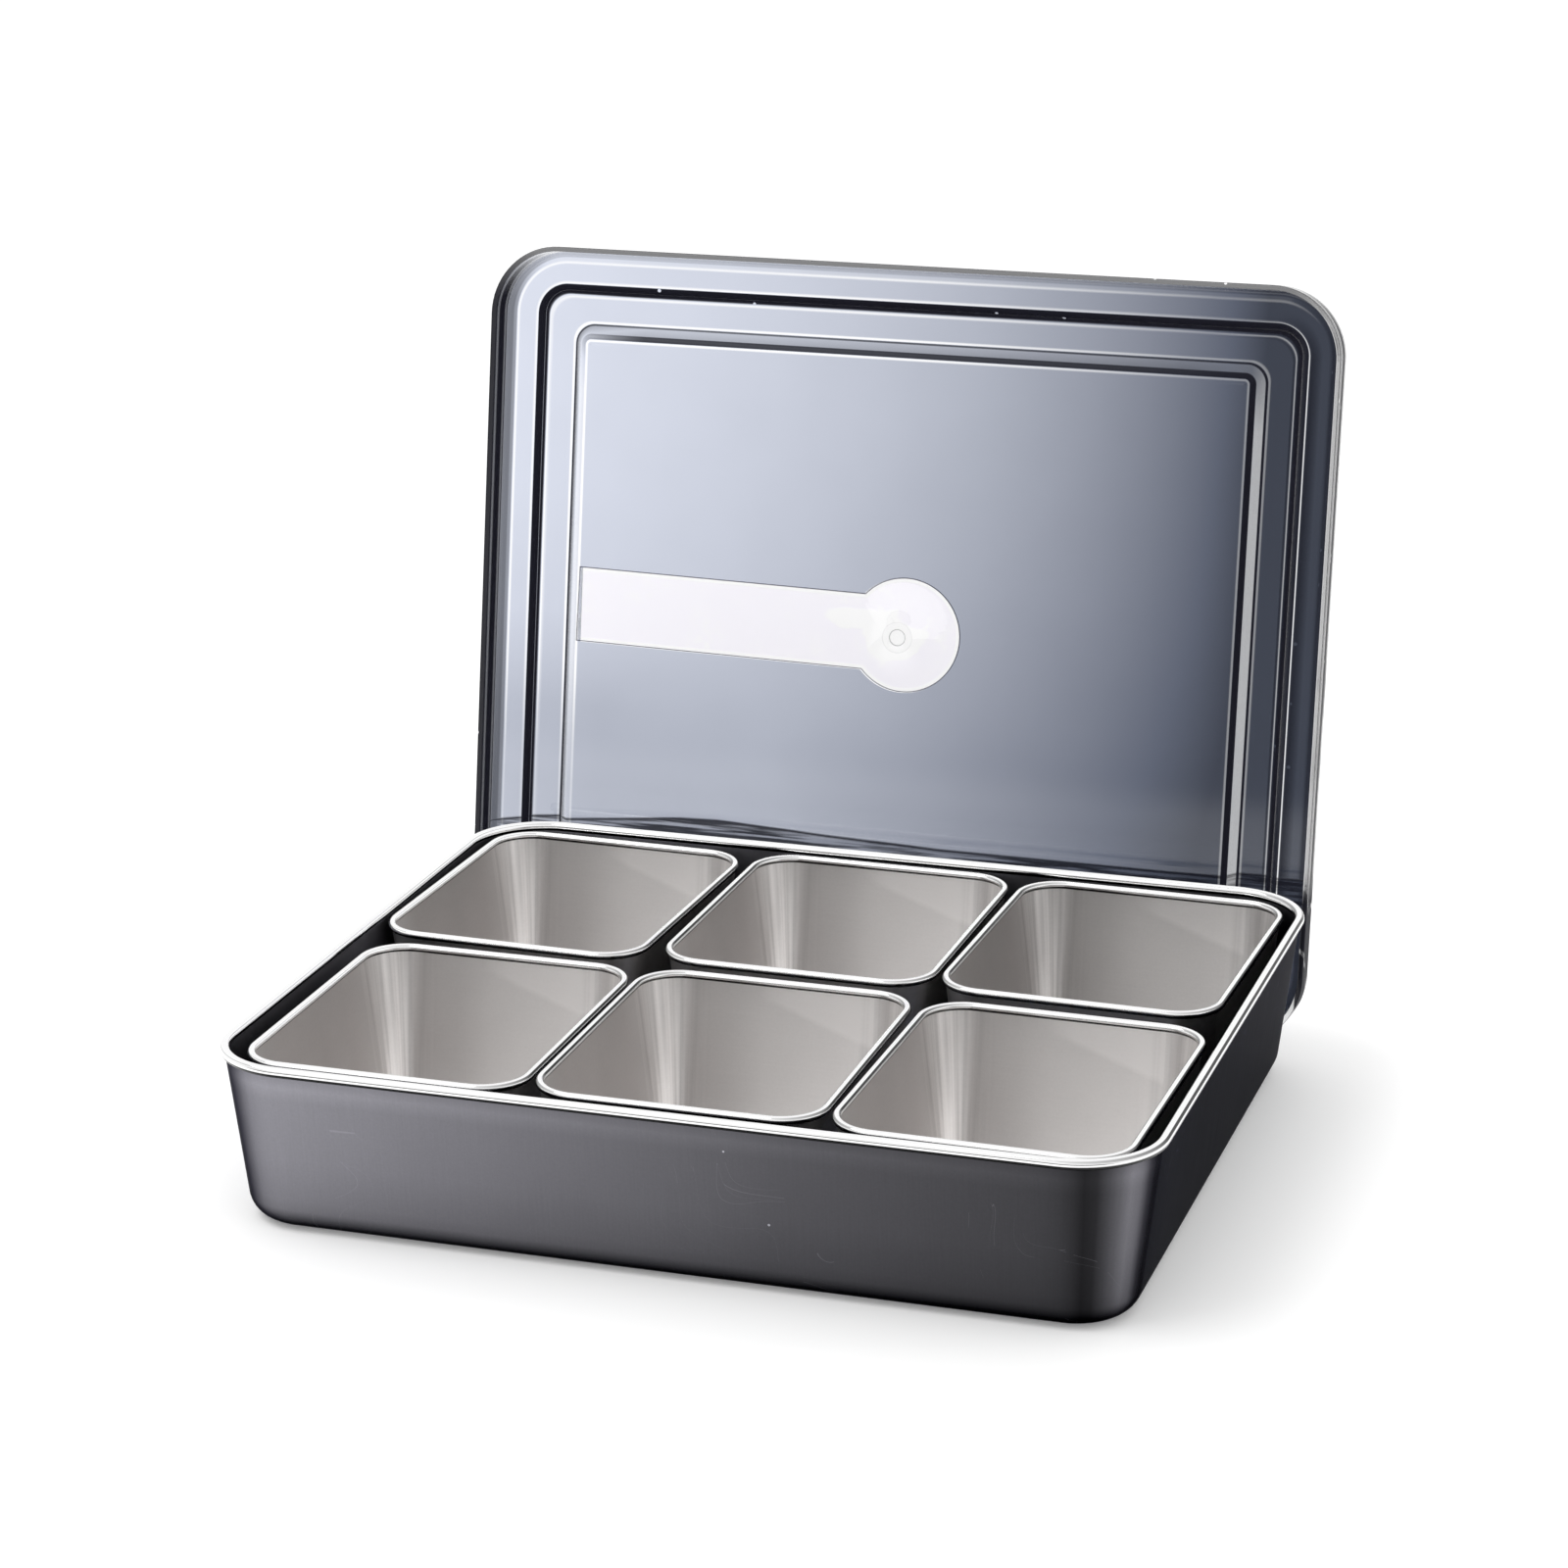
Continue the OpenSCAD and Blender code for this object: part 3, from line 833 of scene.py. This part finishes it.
def clear_plastic(shade, colour, dark=0.0, tinted=False):
    """Makes a shade a clear plastic, with painted shade on the moulding's bends and painted
    highlights beside them. Only what the camera sees through it is tinted: lamps and reflections
    pass it as if it were clear."""
    m = shade.maths
    tone = shade.node("Attribute", attribute_name="tone").outputs["Fac"]
    # Small specks on the darkest bends are left undarkened.
    speckle = m("MULTIPLY", shade.specks(shade.place(), 190.0, 0.11), m("GREATER_THAN", tone, 0.3))
    dark = m("MAXIMUM", m("MULTIPLY", tone, m("SUBTRACT", 1.0, speckle)), dark, clamp=True)
    dark = m("MAXIMUM", dark, skirt_darkening(shade))
    # Below 0 the tone is a painted highlight, which turns the colour white.
    lit = m("MULTIPLY", tone, -1.0, clamp=True)
    colour = shade.mix(dark, colour, BEND_DARK)
    colour = shade.mix(lit, colour, WHITE)
    # The shader tints by the root of its colour where light passes one face.
    shade.set(Base_Color=shade.mix(1.0, colour, colour, "MULTIPLY"), Roughness=0.03, IOR=1.58,
              Specular_Tint=shade.mix(dark, WHITE, (0.1, 0.1, 0.12)),
              Transmission_Weight=1.0)
    # A black shader takes over where the cover is painted dark.
    black = shade.node("BsdfPrincipled")
    shade.put((0.012, 0.012, 0.018), black.inputs["Base Color"])
    shade.put(0.6, black.inputs["Roughness"])
    shade.put(0.0, black.inputs["Specular IOR Level"])
    through = shade.node("BsdfTransparent")
    shade.put(WHITE, through.inputs["Color"])
    path = shade.node("LightPath").outputs
    # A ray that went through the other skin counts as a glossy one too.
    mirrored = path["Is Glossy Ray"]
    if tinted:
        mirrored = m("SUBTRACT", mirrored, path["Is Transmission Ray"], clamp=True)
    unseen = m("MAXIMUM", path["Is Shadow Ray"], m("MAXIMUM", path["Is Diffuse Ray"], mirrored))
    whole = shade.shader.outputs[0]
    for share, other in ((dark, black), (unseen, through)):
        both = shade.node("MixShader")
        shade.put(share, both.inputs[0])
        shade.put(whole, both.inputs[1])
        shade.put(other.outputs[0], both.inputs[2])
        whole = both.outputs[0]
    shade.put(whole, shade.tree.nodes["Material Output"].inputs["Surface"])
    return shade.material


def lid_clear():
    return clear_plastic(Shade("lid_clear"), WHITE)


def smoke(shade):
    """The colour of the smoke tint, with painted shade that deepens it to the right and downwards.
    """
    m = shade.maths
    x, _, z = shade.parts(shade.place())
    across = shade.between(x, PANEL_LEFT, PANEL_RIGHT, clamp=False)
    down = shade.between(z, TINT_TOP, TINT_FOOT)
    # Painted shade: along the top the light that passes falls from 0.65 on the left to 0.2 on
    # the right.
    light = m("MULTIPLY_ADD", across, -0.196, 0.646)
    light = m("MULTIPLY_ADD", m("POWER", m("MAXIMUM", across, 0.0), 2.3), -0.245, light)
    loss = m("MULTIPLY", m("MULTIPLY_ADD", across, 0.223, 0.338), m("POWER", down, 1.8))
    light = m("MULTIPLY", light, m("SUBTRACT", 1.0, loss))
    # The painted shade is a little darker still low on the left.
    low_left = m("MULTIPLY", shade.between(down, 0.683, 0.85), shade.between(across, 0.333, 0))
    light = m("MULTIPLY", light, m("MULTIPLY_ADD", low_left, -0.17, 1.0))
    light = m("MAXIMUM", light, 0.044)
    light = m("MULTIPLY", light, shade.vary(1.0, shade.noise(shade.place(), 35.0, 3.0), 0.08))
    # The cast is blue, but less so where next to no light passes.
    cast = shade.between(light, -0.011, 0.1)
    green = m("MULTIPLY_ADD", cast, 0.01, m("MULTIPLY", light, 1.035))
    blue = m("MULTIPLY_ADD", cast, 0.04, m("MULTIPLY", light, 1.14))
    made = shade.node("CombineColor")
    for value, socket in zip((light, green, blue), made.inputs):
        shade.put(value, socket)
    return made.outputs[0]


# The dark band low on the cover is a painted reflection of the tray's rim.
# The top edge of the dark band low on the cover, from REFLECTION_LEFT to REFLECTION_RIGHT, as a share of
# the way from REFLECTION_LOW to REFLECTION_HIGH
REFLECTION_TOP = [(0, 0.3), (0.03, 0.37), (0.232, 0.635), (0.275, 0.655), (0.41, 0.575), (0.54, 0.52),
             (0.81, 0.515), (0.96, 0.55), (1, 0.56)]


def rim_reflection(shade):
    """How far the painted reflection of the tray's rim, a band low on the cover, darkens it: a dark
    line with streaks under it.
    """
    m = shade.maths
    x, _, z = shade.parts(shade.place())
    top = shade.ramp(shade.between(x, REFLECTION_LEFT, REFLECTION_RIGHT), REFLECTION_TOP)
    depth = m("SUBTRACT", m("MULTIPLY_ADD", top, REFLECTION_HIGH - REFLECTION_LOW, REFLECTION_LOW), z)
    line = shade.between(depth, 0, REFLECTION_LINE, clamp=False)
    line = m("SUBTRACT", 1.0, m("ABSOLUTE", m("SUBTRACT", line, 1.0)), clamp=True)
    streaks = shade.noise(shade.stretched(shade.place(), (30, 30, 800)), 1.0, 4.0)
    streaks = shade.between(streaks, 0.4286, 0.5714)
    band = m("MULTIPLY", shade.between(depth, 0, 0.5*MM),
             shade.between(depth, REFLECTION_END, REFLECTION_FADE))
    band = m("MULTIPLY", band, m("MULTIPLY_ADD", streaks, 0.57, 0.15))
    return m("MAXIMUM", band, m("MULTIPLY", line, 0.8))


def lid_tinted():
    shade = Shade("lid_tinted")
    return clear_plastic(shade, smoke(shade), rim_reflection(shade), tinted=True)


def patch(shade, wander, centre, size):
    """1 inside an uneven oval of the standing cover, else 0; size is half its width and height."""
    m = shade.maths
    x, _, z = shade.parts(shade.place())
    across = shade.between(x, centre[0], centre[0] + size[0], clamp=False)
    up = shade.between(z, centre[1], centre[1] + size[1], clamp=False)
    far = m("SQRT", m("ADD", m("MULTIPLY", across, across), m("MULTIPLY", up, up)))
    return shade.between(shade.vary(far, wander, 1.4), 1.0714, 0.9286)


def label_film():
    """White film with a violet cast where it sticks, bubbles, and a lifted patch round the gate."""
    shade = Shade("label_film")
    m = shade.maths
    spot = shade.place()
    edge = shade.node("Attribute", attribute_name="edge").outputs["Fac"]
    wander = shade.parts(shade.noise(spot, 110.0, 3.0, "Color"))[0]
    lifted = m("MAXIMUM", patch(shade, wander, (GATE_X - 2*MM, GATE_HEIGHT), (10*MM, 8*MM)),
               patch(shade, wander, (GATE_X - 14*MM, GATE_HEIGHT + 5*MM), (10*MM, 3.2*MM)))
    bubbles = shade.parts(shade.texture("Voronoi", spot, 520.0).outputs["Color"])[0]
    bubbles = shade.between(bubbles, 0.469, 1.094)
    cloud = shade.between(shade.noise(spot, 75.0, 3.0), 0.4333, 0.7667)
    loose = m("MAXIMUM", m("MULTIPLY", m("ADD", bubbles, 0.15), cloud), lifted)
    loose = m("MAXIMUM", loose, m("MULTIPLY", edge, 2.2))
    colour = shade.mix(m("MINIMUM", loose, 1.0), (0.957, 0.94, 1.0), (0.995, 0.995, 1.0))
    cut = shade.between(edge, 0.5417, 0.9583)
    shade.set(Base_Color=shade.mix(cut, colour, (0.16, 0.165, 0.2)), Roughness=0.4)
    shade.bump(loose, 0.3, 0.1*MM)
    return shade.material


def make_cover():
    """The cover and the film on it, standing on edge."""
    low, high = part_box("lid")
    lid = cover([lid_tinted(), lid_clear()])
    film = label(label_film())
    lean(lid)
    lean(film)
    shift = Matrix.Translation((low + high)/2 - middle(lid))
    for obj, name, slot in ((lid, "lid", "lid_plastic"), (film, "lid_label", "label_film")):
        obj.data.transform(shift)
        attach(obj, "lid")
        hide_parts(name)


# ---------------------------------------------------------------- stage

def make_floor():
    """A white floor that takes shadows. What is seen of it is lifted to the white of the studio."""
    mesh = bpy.data.meshes.new("floor")
    s = FLOOR_REACH
    mesh.from_pydata([(-s, -s, 0), (s, -s, 0), (s, s, 0), (-s, s, 0)], [], [[0, 1, 2, 3]])
    floor = bpy.data.objects.new("floor", mesh)
    bpy.context.scene.collection.objects.link(floor)
    shade = Shade("floor")
    m = shade.maths
    path = shade.node("LightPath").outputs
    seen = m("MAXIMUM", path["Is Camera Ray"], path["Is Transmission Ray"])
    seen = m("MAXIMUM", seen, path["Is Glossy Ray"])
    shade.set(Base_Color=(0.93, 0.93, 0.93), Roughness=0.9, Emission_Color=WHITE,
              Emission_Strength=m("MULTIPLY", seen, 0.14))
    mesh.materials.append(shade.material)


def make_studio():
    """A white studio, dim behind the camera for what glossy faces reflect."""
    world = bpy.data.worlds.new("studio")
    bpy.context.scene.world = world
    world.use_nodes = True
    sky = Nodes(world.node_tree)
    m = sky.maths
    _, ahead, up = sky.parts(sky.place("Generated"))
    behind = sky.between(ahead, -0.4, -0.7333)
    height = m("MULTIPLY", sky.between(up, -0.0033, 0.0033), sky.between(up, 0.3333, 0.1667))
    dim = m("MULTIPLY", m("MULTIPLY", behind, height), 0.9)
    dim = m("MULTIPLY", dim, sky.node("LightPath").outputs["Is Glossy Ray"])
    background = sky.tree.nodes["Background"]
    sky.put(m("SUBTRACT", 1.0, dim), background.inputs["Strength"])
    sky.put(WHITE, background.inputs["Color"])


def make_lamp():
    """A soft lamp high on the left, aimed at the middle of the tray."""
    data = bpy.data.lights.new("key", "AREA")
    data.shape = "RECTANGLE"
    data.size, data.size_y = LAMP_SIZE
    data.energy = LAMP_POWER
    lamp = bpy.data.objects.new("key", data)
    lamp.location = LAMP_PLACE
    lamp.rotation_mode = "QUATERNION"
    lamp.rotation_quaternion = (-Vector(LAMP_PLACE)).to_track_quat("-Z", "Y")
    bpy.context.scene.collection.objects.link(lamp)


def make_camera():
    """The camera that the photograph's lines were fitted with."""
    data = bpy.data.cameras.new("camera")
    data.sensor_width = SENSOR_WIDTH
    data.lens = CAMERA_FOCAL*SENSOR_WIDTH
    data.clip_start, data.clip_end = 0.05, 50
    yaw, pitch, roll = [math.radians(a) for a in (CAMERA_YAW, CAMERA_PITCH, CAMERA_ROLL)]
    ahead = Vector((-math.sin(yaw)*math.cos(pitch), math.cos(yaw)*math.cos(pitch), -math.sin(pitch)))
    right = ahead.cross(Vector((0, 0, 1))).normalized()
    up = right.cross(ahead)
    right, up = (math.cos(roll)*right + math.sin(roll)*up, math.cos(roll)*up - math.sin(roll)*right)
    turn = Matrix((right, up, -ahead)).transposed()
    camera = bpy.data.objects.new("camera", data)
    camera.matrix_world = Matrix.Translation(CAMERA_PLACE) @ turn.to_4x4()
    bpy.context.scene.collection.objects.link(camera)
    bpy.context.scene.camera = camera


bpy.context.scene.view_settings.view_transform = "Standard"
make_pans()
make_cover()
make_floor()
make_studio()
make_lamp()
make_camera()
